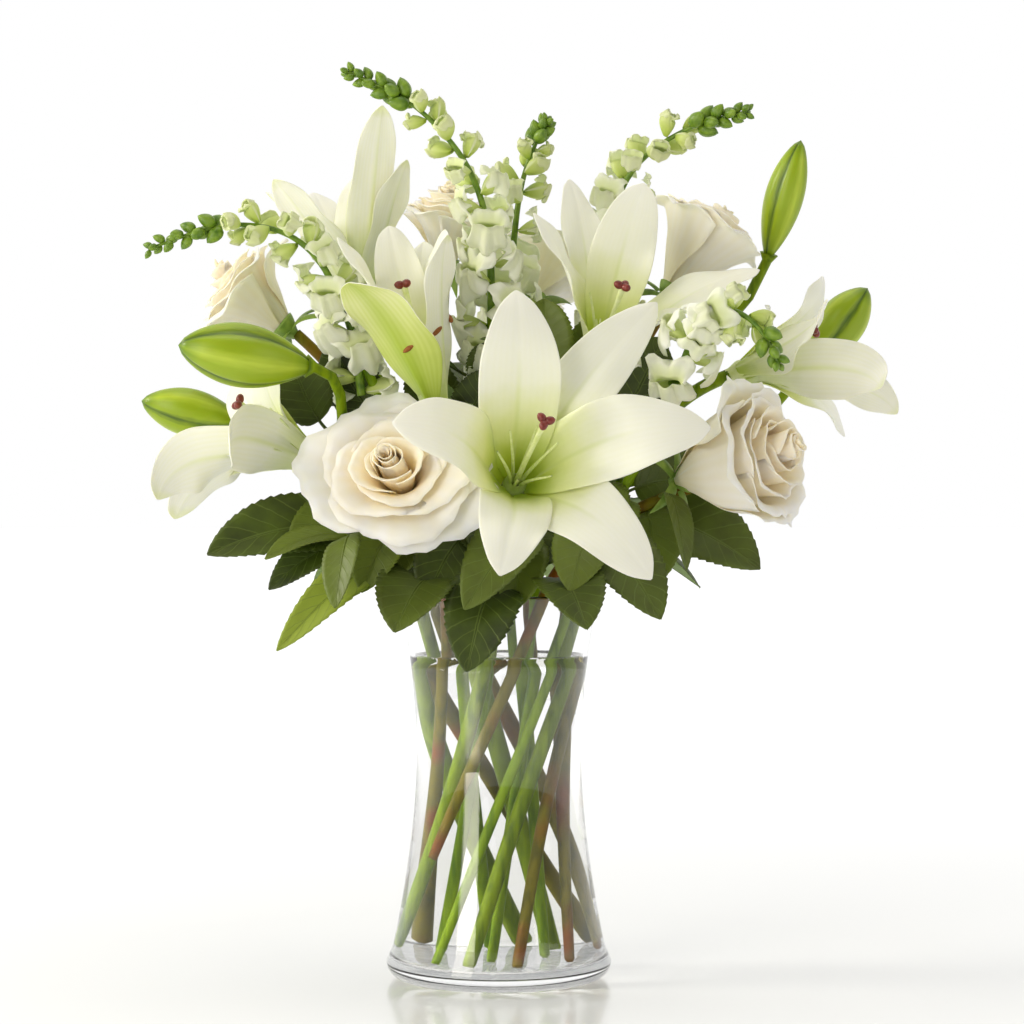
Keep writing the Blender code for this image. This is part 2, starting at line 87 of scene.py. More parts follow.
def remap(tree, value, low, high, to_low=0.0, to_high=1.0, kind="LINEAR"):
    """Stretches the range from low to high over another one and holds it at the ends."""
    inputs = {"Value": value, "From Min": low, "From Max": high, "To Min": to_low, "To Max": to_high}
    return add_node(tree, "ShaderNodeMapRange", {"interpolation_type": kind}, inputs).outputs["Result"]


def add_ramp(tree, stops, source):
    """A colour ramp through the given (place, hex colour) stops."""
    made = add_node(tree, "ShaderNodeValToRGB", (), {"Fac": source})
    stretch = made.color_ramp.elements
    for place, colour in stops[1:-1]:
        stretch.new(place)
    for element, (place, colour) in zip(stretch, stops):
        element.position = place
        element.color = linear(colour)
    stretch[-1].position = stops[-1][0]
    stretch[-1].color = linear(stops[-1][1])
    return made.outputs["Color"]


def new_material(name, values=()):
    """A material with its shader's plain values set, and the tree and shader to go on with."""
    made = bpy.data.materials.new(name)
    made.use_nodes = True
    shader = made.node_tree.nodes["Principled BSDF"]
    for socket, value in dict(values).items():
        shader.inputs[socket].default_value = value
    return made, made.node_tree, shader


sky = bpy.data.worlds.new("studio")
sky.use_nodes = True
scene.world = sky
direction = add_node(sky.node_tree, "ShaderNodeTexCoord").outputs["Generated"]
split = add_node(sky.node_tree, "ShaderNodeSeparateXYZ", (), {"Vector": direction})
depth = remap(sky.node_tree, split.outputs["Y"], -0.4, 0.6, 0.2, 1.0)
path = add_node(sky.node_tree, "ShaderNodeLightPath")
seen = maths(sky.node_tree, "MAXIMUM", depth, path.outputs["Is Camera Ray"])
backdrop = sky.node_tree.nodes["Background"]
backdrop.inputs["Color"].default_value = linear("#FFFFFF")
sky.node_tree.links.new(seen, backdrop.inputs["Strength"])
scene.cycles.max_bounces = 24
scene.cycles.diffuse_bounces = 8
scene.cycles.transmission_bounces = 24
scene.cycles.transparent_max_bounces = 24


def add_lamp(name, place, aim, width, height, power):
    lamp = bpy.data.lights.new(name, "AREA")
    lamp.shape = "RECTANGLE"
    lamp.size = width
    lamp.size_y = height
    lamp.energy = power
    lamp.color = linear("#FFFAEC")[:3]
    made = bpy.data.objects.new(name, lamp)
    made.location = place
    made.rotation_euler = (Vector(aim) - Vector(place)).to_track_quat("-Z", "Y").to_euler()
    scene.collection.objects.link(made)


add_lamp("tall softbox", (-0.95, -1.25, 0.66), (0, 0, 0.5), 0.6, 1.25, 10)
add_lamp("side lamp", (-1.7, -0.1, 1.1), (0, 0, 0.2), 0.4, 0.4, 15)
add_lamp("top lamp", (0.1, -0.2, 2.2), (0, 0, 0.3), 1.4, 1.4, 10)
add_lamp("right fill", (1.3, -0.9, 0.75), (0.1, -0.05, 0.3), 0.8, 0.8, 3)

floor_mesh = bmesh.new()
bmesh.ops.create_grid(floor_mesh, x_segments=1, y_segments=1, size=40)
floor_data = bpy.data.meshes.new("floor")
floor_mesh.to_mesh(floor_data)
floor = bpy.data.objects.new("floor", floor_data)
scene.collection.objects.link(floor)
pale, pale_tree, pale_shader = new_material("white acrylic sheet with painted glow", {
    "Base Color": linear("#F3F4F5"), "Roughness": 0.16, "Emission Color": linear("#FFFFFF"),
})
# Painted light: the floor glows, faintly near the vase and more strongly further out, so that it fades into
# the white backdrop.
floor_place = add_node(pale_tree, "ShaderNodeTexCoord").outputs["Object"]
away = add_node(pale_tree, "ShaderNodeVectorMath", {"operation": "LENGTH"}, {0: floor_place}).outputs["Value"]
pale_tree.links.new(remap(pale_tree, away, 0.25, 1.4, 0.02, 0.3), pale_shader.inputs["Emission Strength"])
floor_data.materials.append(pale)

# The vase: a flared gathering vase of clear soda-lime glass, blown and turned, with a heavy rounded foot,
# a thin wall and a fire-polished rim.
VASE_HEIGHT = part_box("vase")[1].z / MM
VASE_FOOT = 60.5
VASE_WAIST = 44.0
VASE_RIM = 53.5
VASE_REST = 51.0
VASE_WALL = 2.8
VASE_FLOOR = 9.0
FOOT_ROUNDING = 10
INNER_CORNER = 7


def vase_radius(height):
    """The outside radius: the foot narrows to the waist at 0.58 of the height, then flares to the rim."""
    waist_height = 0.58 * VASE_HEIGHT
    if height < waist_height:
        share = (waist_height - height) / waist_height
        return VASE_WAIST + (VASE_FOOT - VASE_WAIST) * 1.1 * share ** 1.75 / (1 + 0.1 * share)
    share = (height - waist_height) / (VASE_HEIGHT - waist_height)
    return VASE_WAIST + (VASE_RIM - VASE_WAIST) * share ** 1.9


def turned(profile, steps):
    """A closed solid turned about the Z axis from an outline of (radius, height) in mm."""
    mesh = bmesh.new()
    points = [mesh.verts.new((r * MM, 0, z * MM)) for r, z in profile]
    edges = [mesh.edges.new(pair) for pair in zip(points, points[1:])]
    bmesh.ops.spin(
        mesh, geom=points + edges, cent=(0, 0, 0), axis=(0, 0, 1), angle=2 * pi, steps=steps, use_merge=True
    )
    bmesh.ops.remove_doubles(mesh, verts=mesh.verts, dist=0.01 * MM)
    bmesh.ops.recalc_face_normals(mesh, faces=mesh.faces)
    return mesh


def add_piece(name, mesh, finishes, replaces=()):
    """A finished mesh becomes a piece that rides on the one body."""
    data = bpy.data.meshes.new(name)
    mesh.to_mesh(data)
    mesh.free()
    for finish in finishes:
        data.materials.append(finish)
    data.shade_smooth()
    made = bpy.data.objects.new(name, data)
    scene.collection.objects.link(made)
    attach(made, "root")
    if replaces:
        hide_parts(*replaces)
    return made


outline = [(0, 0), (VASE_REST, 0)]
for step in range(1, 7):
    turn = pi / 2 * step / 6
    outline.append((VASE_REST + (VASE_FOOT - 0.3 - VASE_REST) * sin(turn), FOOT_ROUNDING * (1 - cos(turn))))
for step in range(1, 25):
    height = FOOT_ROUNDING + step / 24 * (VASE_HEIGHT - FOOT_ROUNDING - VASE_WALL / 2)
    outline.append((vase_radius(height), height))
lip_radius = VASE_RIM - VASE_WALL / 2
lip_height = VASE_HEIGHT - VASE_WALL / 2
for step in range(1, 7):
    turn = pi * step / 7
    outline.append((lip_radius + VASE_WALL / 2 * cos(turn), lip_height + VASE_WALL / 2 * sin(turn)))
inside = []
for step in range(25):
    height = lip_height - step / 24 * (lip_height - VASE_FLOOR - INNER_CORNER)
    inside.append((vase_radius(height) - VASE_WALL, height))
corner = inside[-1][0]
for step in range(1, 6):
    turn = pi / 2 * step / 5
    inside.append((corner - INNER_CORNER * (1 - cos(turn)), VASE_FLOOR + INNER_CORNER * (1 - sin(turn))))
inside.append((0, VASE_FLOOR))


def clear_material(name, bending):
    values = {"Base Color": linear("#FFFFFF"), "Transmission Weight": 1.0, "Roughness": 0.0, "IOR": bending}
    return new_material(name, values)[0]


glass = clear_material("clear soda-lime glass", 1.5)
vase = add_piece("glass_vase", turned(outline + inside, 128), [glass], ["vase"])
vase.visible_shadow = False

# The water: tap water filled to a hand's width below the rim, wetting the glass all round.
# It reaches a hair into the glass so that the two meet without an air gap.
WATER_TOP = 172.0
WETTING = 0.15
wet = [(0, VASE_FLOOR - WETTING)]
for radius, height in reversed(inside[:-1]):
    if height < WATER_TOP:
        wet.append((radius + WETTING, height - (WETTING if height < VASE_FLOOR + 4 else 0)))
edge = vase_radius(WATER_TOP) - VASE_WALL
wet += [(edge + WETTING, WATER_TOP + 1.2), (edge - 1.2, WATER_TOP + 0.2)]
wet += [(edge - 3, WATER_TOP), (0, WATER_TOP)]
fill = add_piece("water", turned(wet, 96), [clear_material("clear water", 1.333)])
fill.visible_shadow = False

# Stems: cut flower stems, smooth and waxy on the lilies and snapdragons, woody with a red-brown blush on the
# roses. Each follows its CAD rod, rounded, and is swelled back to its width.


def cad_copy(node):
    """The CAD piece's own mesh, its loose triangles joined into one skin of four-sided faces."""
    mesh = bmesh.new()
    mesh.from_mesh(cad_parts[node].data)
    bmesh.ops.remove_doubles(mesh, verts=mesh.verts, dist=0.001 * MM)
    bmesh.ops.join_triangles(mesh, faces=mesh.faces, angle_face_threshold=pi, angle_shape_threshold=pi)
    return mesh


def swell(mesh, amount):
    mesh.normal_update()
    for point in mesh.verts:
        point.co += point.normal * amount * MM


def round_off(piece, levels):
    """Live subdivision, the same in view and render."""
    smooth = piece.modifiers.new("rounding", "SUBSURF")
    smooth.levels = levels
    smooth.render_levels = levels


def object_place(tree):
    return add_node(tree, "ShaderNodeTexCoord").outputs["Object"]


def add_noise(tree, place, scale, detail):
    inputs = {"Vector": place, "Scale": scale, "Detail": detail}
    return add_node(tree, "ShaderNodeTexNoise", (), inputs).outputs["Fac"]


def stretch(tree, place, scale):
    return add_node(tree, "ShaderNodeMapping", (), {"Vector": place, "Scale": scale}).outputs[0]


def mix(tree, share, one, two, blend="MIX"):
    settings = {"data_type": "RGBA", "blend_type": blend}
    return add_node(tree, "ShaderNodeMix", settings, {0: share, 6: one, 7: two}).outputs[2]


def finish_skin(tree, shader, colour, height, strength, depth):
    """Joins up a skin's colour and its fine relief, with the depth in mm."""
    tree.links.new(colour, shader.inputs["Base Color"])
    relief = {"Height": height, "Strength": strength, "Distance": depth * MM}
    bump = add_node(tree, "ShaderNodeBump", (), relief)
    tree.links.new(bump.outputs["Normal"], shader.inputs["Normal"])


def stem_material(name, young, old, blush, blush_share):
    """Waxy stem skin: long soft streaks a few millimetres wide, with darker or redder patches."""
    made, tree, shader = new_material(name, {"Roughness": 0.45, "Specular IOR Level": 0.2})
    place = object_place(tree)
    streaks = add_noise(tree, stretch(tree, place, (220, 220, 16)), 1.0, 3.0)
    greens = add_ramp(tree, [(0.3, old), (0.55, young), (1.0, young)], streaks)
    blushed = remap(tree, add_noise(tree, place, 26.0, 2.0), 0.66 - blush_share, 0.8 - blush_share)
    finish_skin(tree, shader, mix(tree, blushed, greens, linear(blush)), streaks, 0.3, 0.4)
    return made


stem_finishes = {
    "lily": stem_material("lily stem skin", "#7C9404", "#4C6602", "#7C8C06", 0.0),
    "rose": stem_material("rose stem bark", "#746C06", "#4E5004", "#80480C", 0.14),
    "snapdragon": stem_material("snapdragon stem skin", "#82A00C", "#527404", "#769408", 0.0),
}
for node in sorted(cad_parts):
    if "_stem_" in node or node.endswith("pedicel"):
        kind = node.split("_")[0]
        rod = cad_copy(node)
        crease = rod.edges.layers.float.new("crease_edge")
        for line in rod.edges:
            if line.calc_face_angle(0) > radians(60):
                line[crease] = 0.9
        swell(rod, 0.3)
        stem = add_piece(f"{node}_skin", rod, [stem_finishes[kind]], [node])
        round_off(stem, 2)

# The lilies: white LA-hybrid lilies. Each has six waxy petals on a funnel that opens and curls back, lime in
# the throat. The inner three are broad and grooved, the outer three narrower with a green rib behind.


def above_rim(point):
    return Vector(point) + Vector((0, 0, VASE_HEIGHT))


LILIES = {
    "lily_1": dict(
        base=(8, -64, 57), axis=(0.15, -0.92, 0.35), stigma=(23, -140, 88), funnel=0.3,
        tips=(
            (9, -100, 155), (81, -72, 151), (106, -107, 86), (75, -137, 11), (1, -147, 13), (-51, -147, 87),
        ),
        widths=(43, 35, 44, 40, 38, 40),
    ),
    "lily_2": dict(
        base=(52, -22, 124), axis=(0.25, -0.4, 0.88), stigma=(64, -62, 160), taut=0.7,
        tips=(
            (18, -48, 199), (38, 14, 224), (76, -35, 216), (138, -20, 172), (113, -58, 150), (62, -62, 118),
        ),
        widths=(31, 26, 34, 32, 30, 34),
    ),
    "lily_3": dict(
        base=(-32, -40, 98), axis=(-0.22, -0.1, 0.97), stigma=(-49, -48, 162), taut=0.55, lime=(0,),
        tips=(
            (-76, -84, 160), (-84, -44, 187), (-58, -22, 195), (-40, -8, 188), (-28, -34, 192),
            (-26, -66, 186),
        ),
        widths=(42, 30, 27, 26, 27, 27),
    ),
    "lily_4": dict(
        base=(-93, -34, 70), axis=(-0.85, -0.3, 0.42), stigma=(-134, -56, 100),
        tips=(
            (-175, -62, 50), (-172, -12, 40), (-150, 32, 66), (-138, 14, 126), (-116, -30, 134),
            (-134, -98, 74),
        ),
        widths=(42, 38, 34, 34, 34, 36), twists=(60, 60, 0, 0, 0, 30),
    ),
    "lily_5": dict(
        base=(-76, 32, 159), axis=(-0.1, 0.25, 0.96), stigma=(-80, 52, 222), taut=0.75,
        tips=(
            (-63, 14, 264), (-50, 26, 236), (-74, 88, 240), (-106, 96, 226), (-130, 58, 222), (-122, 14, 224),
        ),
        widths=(27, 24, 34, 30, 34, 30),
    ),
    "lily_6": dict(
        base=(128, 5, 119), axis=(0.88, -0.12, 0.25), stigma=(168, -8, 141), taut=0.35,
        tips=(
            (176, 18, 171), (168, -52, 150), (198, -52, 108), (212, -10, 96), (190, 40, 86), (150, 64, 156),
        ),
        widths=(36, 32, 34, 28, 32, 32), twists=(0, -40, -60, -50, 0, 0),
    ),
}
PETAL_THICKNESS = 0.6
WELD = 0.004


def bend_grid(mesh, across, along, place, layer=0.0, finish=0):
    """Adds a grid and bends it. Place turns a side (-1 to 1) and a share (0 to 1) into a point in mm."""
    for name in ("sheet", "layer"):
        if name not in mesh.loops.layers.uv:
            mesh.loops.layers.uv.new(name)
    sheet = mesh.loops.layers.uv["sheet"]
    layers = mesh.loops.layers.uv["layer"]
    points = bmesh.ops.create_grid(mesh, x_segments=across, y_segments=along, size=1)["verts"]
    faces = list({face for point in points for face in point.link_faces})
    for face in faces:
        face.material_index = finish
        for loop in face.loops:
            spot = loop.vert.co
            loop[sheet].uv = ((spot.x + 1) / 2, (spot.y + 1) / 2)
            loop[layers].uv = (layer, 0.5)
    for point in points:
        point.co = place(point.co.x, (point.co.y + 1) / 2) * MM
    return points, faces


def face_towards(faces, heading):
    """Turns a sheet over where it faces away from the heading."""
    for face in faces:
        face.normal_update()
    if sum(face.normal.dot(heading) * face.calc_area() for face in faces) < 0:
        for face in faces:
            face.normal_flip()


def close_tube(mesh, points, faces):
    """Joins a grid's two long sides, and its ends where they come to a point, into one skin facing out."""
    bmesh.ops.remove_doubles(mesh, verts=points, dist=WELD * MM)
    kept = [face for face in faces if face.is_valid]
    bmesh.ops.recalc_face_normals(mesh, faces=kept)


def thicken(piece, thickness, levels):
    """Live thickness and rounding: the second material, if any, is on the back."""
    shell = piece.modifiers.new("thickness", "SOLIDIFY")
    shell.thickness = thickness * MM
    shell.offset = 0.0
    if len(piece.data.materials) > 1:
        shell.material_offset = 1
    if levels:
        round_off(piece, levels)


def bezier(points, share):
    a, b, c, d = points
    rest = 1 - share
    return a * rest ** 3 + b * 3 * share * rest ** 2 + c * 3 * share ** 2 * rest + d * share ** 3


def bezier_heading(points, share):
    return (bezier(points, min(share + 0.01, 1)) - bezier(points, max(share - 0.01, 0))).normalized()


def petal_outline(share):
    """Half width along a lily petal, as a share of its widest."""
    if share < 0.48:
        return 0.17 + 0.83 * sin(pi / 2 * share / 0.48)
    return max(cos(pi / 2 * (share - 0.48) / 0.52) ** 0.54, 0.02)


def bend_petal(mesh, lily, index):
    """One lily petal: a grooved, softly waved blade from the heart of the bloom to its tip."""
    base = above_rim(lily["base"])
    tip = above_rim(lily["tips"][index])
    axis = Vector(lily["axis"]).normalized()
    out = tip - base
    out = (out - axis * out.dot(axis)).normalized()
    wide = axis.cross(out)
    reach = (tip - base).length
    outward = (tip - base).dot(out)
    funnel = lily.get("funnel", 0.42)
    taut = lily.get("taut", 0.0)
    start = base + out * (4.6 if index % 2 == 0 else 6.2)
    low = start + axis * reach * funnel + out * reach * (0.45 - funnel)
    curl = outward * (0.14 if index % 2 == 0 else 0.09)
    high = tip - out * min(reach * 0.42, outward * 0.5) + axis * curl
    line = (
        start, low.lerp(start.lerp(tip, 1 / 3) + axis * reach * 0.04, taut),
        high.lerp(start.lerp(tip, 2 / 3) + axis * reach * 0.05, taut), tip,
    )
    phase = index * 1.9 + lily["base"][0] * 0.1
    width = lily["widths"][index]
    twist = radians(lily.get("twists", (0,) * 6)[index])

    def place(side, share):
        half = width / 2 * petal_outline(share)
        inward = wide.cross(bezier_heading(line, share)).normalized()
        if inward.dot(axis - out) < 0:
            inward.negate()
        lay = twist * min(share * 1.6, 1)
        flat, inward = wide * cos(lay) + inward * sin(lay), inward * cos(lay) - wide * sin(lay)
        groove = -1.3 * exp(-(side / 0.14) ** 2) * (1 - share) ** 0.5
        hollow = half * (0.5 * (1 - share) ** 1.4 - 0.12 * share) * side * side
        wave = 2.5 * sin(pi * share) * abs(side) ** 3 * sin(13 * share + phase + 1.4 * side)
        sway = 2.0 * sin(pi * share) * sin(phase * 3)
        return bezier(line, share) + flat * (half * side + sway) + inward * (groove + hollow + wave)

    faces = bend_grid(mesh, 12, 22, place, finish=2 if index in lily.get("lime", ()) else 0)[1]
    face_towards(faces, axis - out * 0.4)


def sheet_place(tree, layer):
    """A piece's flat map, and its two ways apart."""
    place = add_node(tree, "ShaderNodeUVMap", {"uv_map": layer}).outputs["UV"]
    split = add_node(tree, "ShaderNodeSeparateXYZ", (), {"Vector": place})
    return place, split.outputs["X"], split.outputs["Y"]


def sheet_material(
    name, along, rib, rib_width, rib_reach, veins, shade, roughness, glow, bump_mm, heart=None,
    scatter=(1.0, 0.9, 0.5),
):
    """Petal skin. Colour runs from foot to tip, a rib runs up the middle and fine veins run beside it."""
    made, tree, shader = new_material(name, {
        "Roughness": roughness, "Subsurface Weight": glow, "Subsurface Radius": scatter,
        "Subsurface Scale": 4 * MM,
    })
    place, across, up = sheet_place(tree, "sheet")
    mottle = add_noise(tree, object_place(tree), 90.0, 4.0)
    colour = add_ramp(tree, along, maths(tree, "ADD", up, maths(tree, "MULTIPLY_ADD", mottle, 0.14, -0.07)))
    if heart:
        colour = mix(tree, sheet_place(tree, "layer")[1], colour, linear(heart), "MULTIPLY")
    away = maths(tree, "ABSOLUTE", maths(tree, "SUBTRACT", across, 0.5))
    near = remap(tree, away, 0.0, rib_width, 1.0, 0.0, "SMOOTHSTEP")
    fade = remap(tree, up, 0.1, rib_reach, 0.9, 0.0)
    ribbed = mix(tree, maths(tree, "MULTIPLY", near, fade), colour, linear(rib))
    waves = {"Vector": place, "Scale": veins, "Distortion": 2.2, "Detail": 2.0}
    lines = add_node(tree, "ShaderNodeTexWave", {"bands_direction": "X"}, waves).outputs["Fac"]
    veined = mix(tree, lines, ribbed, linear(shade), "MULTIPLY")
    finish_skin(tree, shader, veined, maths(tree, "ADD", lines, mottle), 0.3, bump_mm)
    return made


lily_front = sheet_material(
    "lily petal, waxy front",
    [(0.0, "#BCD234"), (0.12, "#C6D852"), (0.32, "#E4EAAA"), (0.54, "#F5F5DE"), (1.0, "#F9F7E8")],
    "#D3DE92", 0.06, 0.7, 4.0, "#FEFEFC", 0.38, 0.3, 0.012,
)
lily_back = sheet_material(
    "lily petal, ribbed back",
    [(0.0, "#B0C650"), (0.15, "#DFE8AC"), (0.34, "#F6F6E4"), (0.9, "#F9F8EC"), (1.0, "#E6ECB8")],
    "#DAE3A0", 0.08, 1.0, 4.0, "#FDFDF8", 0.4, 0.3, 0.02,
)
lime_back = sheet_material(
    "lily petal, lime back",
    [(0.0, "#B2C84C"), (0.35, "#D0DE7A"), (0.75, "#E6ECAE"), (1.0, "#D2E07A")],
    "#A6C02C", 0.3, 1.7, 4.0, "#F7F9E6", 0.4, 0.2, 0.04,
)
for name, lily in LILIES.items():
    if name == "lily_1":
        for index in range(6):
            mesh = bmesh.new()
            bend_petal(mesh, lily, index)
            name, node = f"lily_1_petal_{index + 1}", f"lily_1_tepal_{index + 1}"
            petal = add_piece(name, mesh, [lily_front, lily_back], [node])
            thicken(petal, PETAL_THICKNESS, 1)
    else:
        mesh = bmesh.new()
        for index in range(6):
            bend_petal(mesh, lily, index)
        skins = [lily_front, lily_back, lily_front, lime_back]
        bloom = add_piece(f"{name}_petals", mesh, skins, [f"{name}_tepals"])
        thicken(bloom, PETAL_THICKNESS, 1)

# The lilies' hearts: a pale green style that ends in a maroon three-lobed stigma, and six thin filaments.
# Their anthers are pinched off against pollen stains, except on the one bloom that has only just opened.


def bend_tube(mesh, line, radius, across, along, layer=0.0, finish=0):
    """A round closed tube along a cubic line: radius turns a share from 0 to 1 into mm."""
    chord = line[3] - line[0]
    level = chord.orthogonal().normalized()

    def place(side, share):
        heading = bezier_heading(line, share)
        one = heading.cross(level).normalized()
        two = heading.cross(one)
        return bezier(line, share) + (one * cos(side * pi) + two * sin(side * pi)) * radius(share)

    points, faces = bend_grid(mesh, across, along, place, layer, finish)
    close_tube(mesh, points, faces)


def straight(start, end):
    return start, start.lerp(end, 1 / 3), start.lerp(end, 2 / 3), end


def waxy_material(name, young, old, scale, roughness):
    """Smooth plant skin with soft cloudy patches a few millimetres across."""
    made, tree, shader = new_material(name, {"Roughness": roughness})
    clouds = add_noise(tree, object_place(tree), scale, 3.0)
    finish_skin(tree, shader, add_ramp(tree, [(0.3, old), (0.7, young)], clouds), clouds, 0.2, 0.2)
    return made


style_skin = waxy_material("lily style skin", "#EAF0BE", "#D6E28E", 300, 0.35)
stigma_skin = waxy_material("lily stigma, sticky", "#8E3A2E", "#63211C", 600, 0.3)
anther_skin = waxy_material("lily anther, powdery", "#A9682C", "#7A431C", 900, 0.8)
for name, lily in LILIES.items():
    base = above_rim(lily["base"])
    axis = Vector(lily["axis"]).normalized()
    tip = above_rim(lily["stigma"])
    reach = (tip - base).length
    mesh = bmesh.new()
    if name != "lily_5":
        stalk = (base, base + axis * reach * 0.4, tip - axis * reach * 0.2, tip)
        bend_tube(mesh, stalk, lambda share: 1.3 + 0.5 * exp(-(share / 0.2) ** 2) + 0.5 * share ** 6, 10, 14)
        heading = bezier_heading(stalk, 1)
        level = heading.orthogonal().normalized()
        for turn in (0.4, 2.5, 4.6):
            lobe_way = level * cos(turn) + heading.cross(level) * sin(turn)
            lobe = straight(tip - heading * 0.4, tip + lobe_way * 5.2 + heading * 0.9)
            bend_tube(mesh, lobe, lambda share: 2.2 * sin(pi * (0.12 + 0.88 * share)) ** 0.5, 10, 8, finish=1)
    seat = straight(base - axis * 6, base + axis * 9)
    bend_tube(mesh, seat, lambda share: 3.4 + 3.0 * sin(pi * share ** 1.1) ** 2, 14, 10)
    one = axis.orthogonal().normalized()
    for index in range(6):
        turn = radians(60 * index + 24)
        way = one * cos(turn) + axis.cross(one) * sin(turn)
        end = base + axis * reach * (0.52 + 0.07 * (index % 3)) + way * (14 + 3 * (index % 2))
        thread = (
            base + way * 2, base + axis * reach * 0.2 + way * 2.6, end - axis * reach * 0.12 - way * 3, end,
        )
        bend_tube(mesh, thread, lambda share: 1.2 - 0.75 * share, 6, 10)
        if name == "lily_3":
            pollen = axis.cross(way) * 4.5 + axis * 2
            anther = straight(end - pollen, end + pollen)
            bend_tube(mesh, anther, lambda share: 1.5 * sin(pi * share) ** 0.5, 8, 8, finish=2)
    node = [f"{name}_pistil"] if name != "lily_5" else []
    add_piece(f"{name}_heart", mesh, [style_skin, stigma_skin, anther_skin], node)

# Lily buds: three fleshy outer petals shut edge to edge, with a rib up each and a groove between them.
# Over their own green, the ribs carry a painted highlight and the grooves painted shade. The skin is
# modelled, and the short stalk below is the CAD piece's own.
BUDS = {
    "lily_bud_1": dict(base=(-94, -64, 118), tip=(-161, -90, 128), radius=15.0, turn=0.5),
    "lily_bud_2": dict(base=(-138, 24, 92), tip=(-193, 12, 104), radius=12.0, turn=1.3),
    "lily_bud_3": dict(base=(147, 40, 182), tip=(164, 22, 246), radius=9.8, turn=0.2),
    "lily_bud_4": dict(base=(176, 88, 128), tip=(207, 76, 170), radius=12.5, turn=0.9),
}


def bud_material(name, rib, flank, groove):
    """Each third runs from a pale rib (painted highlight) to dark grooves (painted shade), in streaks to its
    tip.
    """
    made, tree, shader = new_material(name, {
        "Roughness": 0.38, "Subsurface Weight": 0.12, "Subsurface Scale": 2.0 * MM,
    })
    place, around, up = sheet_place(tree, "sheet")
    fold = maths(tree, "PINGPONG", maths(tree, "MULTIPLY", around, 3.0), 0.5)
    streaks = add_noise(tree, stretch(tree, place, (1, 0.12, 1)), 42.0, 3.0)
    moved = maths(tree, "MULTIPLY_ADD", streaks, 0.16, fold)
    # Painted light: the rib colour is a painted highlight on each ridge, the groove colour painted shade in
    # the seams.
    colour = add_ramp(tree, [(0.08, groove), (0.2, flank), (0.42, flank), (0.6, rib)], moved)
    ends = add_ramp(tree, [(0.0, "#9DB545"), (0.2, "#FFFFFF"), (0.86, "#FFFFFF"), (1.0, "#8FB03A")], up)
    finish_skin(tree, shader, mix(tree, 0.8, colour, ends, "MULTIPLY"), streaks, 0.35, 0.4)
    return made


bud_skin = bud_material("lily bud skin", "#B9CC38", "#94AC0E", "#4C6806")
for name, bud in BUDS.items():
    base, tip = above_rim(bud["base"]), above_rim(bud["tip"])
    along = (tip - base).normalized()
    level = along.orthogonal().normalized()
    length = (tip - base).length

    def place(side, share, bud=bud, base=base, along=along, level=level, length=length):
        turn = side * pi + bud["turn"]
        third = ((side + 1) * 1.5) % 1.0
        ridge = abs(third - 0.5) * 2
        fullness = sin(pi * share ** 1.12) ** 0.66
        radius = bud["radius"] * fullness * 1.12 * (1 - 0.11 * exp(-((1 - ridge) / 0.16) ** 2) - 0.05 * ridge)
        return base + along * length * share + (level * cos(turn) + along.cross(level) * sin(turn)) * radius

    mesh = bmesh.new()
    points, faces = bend_grid(mesh, 48, 26, place)
    close_tube(mesh, points, faces)
    stalk = cad_copy(name)
    whole_stalk = stalk.verts[:] + stalk.edges[:] + stalk.faces[:]
    cut = (base + along * length * 0.06) * MM
    bmesh.ops.bisect_plane(stalk, geom=whole_stalk, dist=0, plane_co=cut, plane_no=along, clear_outer=True)
    bmesh.ops.holes_fill(stalk, edges=stalk.edges)
    swell(stalk, 0.2)
    for face in stalk.faces:
        face.material_index = 1
    keep = bpy.data.meshes.new("stalk")
    stalk.to_mesh(keep)
    stalk.free()
    mesh.from_mesh(keep)
    bpy.data.meshes.remove(keep)
    add_piece(f"{name}_skin", mesh, [bud_skin, stem_finishes["lily"]], [name])

# The roses: full ivory garden roses. Thin broad petals wrap one another in a spiral, tight and peach at the
# heart, wider and whiter outwards, with rims that roll back and ruffle. Five green sepals hold each head.
ROSES = {
    "rose_1": dict(
        centre=(-50, -82, 61), axis=(-0.08, -0.95, 0.3), radius=53, length=50, open=1.0,
        heart=(-7, 0, 9), squash=0.82, cone=0.85,
    ),
    "rose_2": dict(
        centre=(126, -54, 69), axis=(0.82, -0.5, 0.22), radius=48, length=76, open=0.45,
        heart=(4, 0, 5), squash=0.9, cone=0.4,
    ),
    "rose_3": dict(
        centre=(109, 18, 187), axis=(0.55, 0.1, 0.8), radius=36, length=64, open=0.35,
        heart=(0, 0, 0), squash=1.0, cone=0.85,
    ),
    "rose_4": dict(
        centre=(-138, 38, 162), axis=(-0.75, -0.1, 0.6), radius=36, length=58, open=0.6,
        heart=(0, 0, 4), squash=1.0, cone=0.85,
    ),
    "rose_5": dict(
        centre=(-29, 64, 206), axis=(0.05, -0.2, 0.97), radius=31, length=54, open=0.6,
        heart=(0, 0, 0), squash=1.0, cone=0.85,
    ),
    "rose_6": dict(
        centre=(24, 92, 178), axis=(0.2, 0.72, 0.66), radius=34, length=56, open=0.8,
        heart=(0, 0, 6), squash=1.0, cone=0.85,
    ),
}
ROSE_PETALS = 22
ROSE_PETAL_THICKNESS = 0.45
GOLDEN_TURN = radians(137.5)


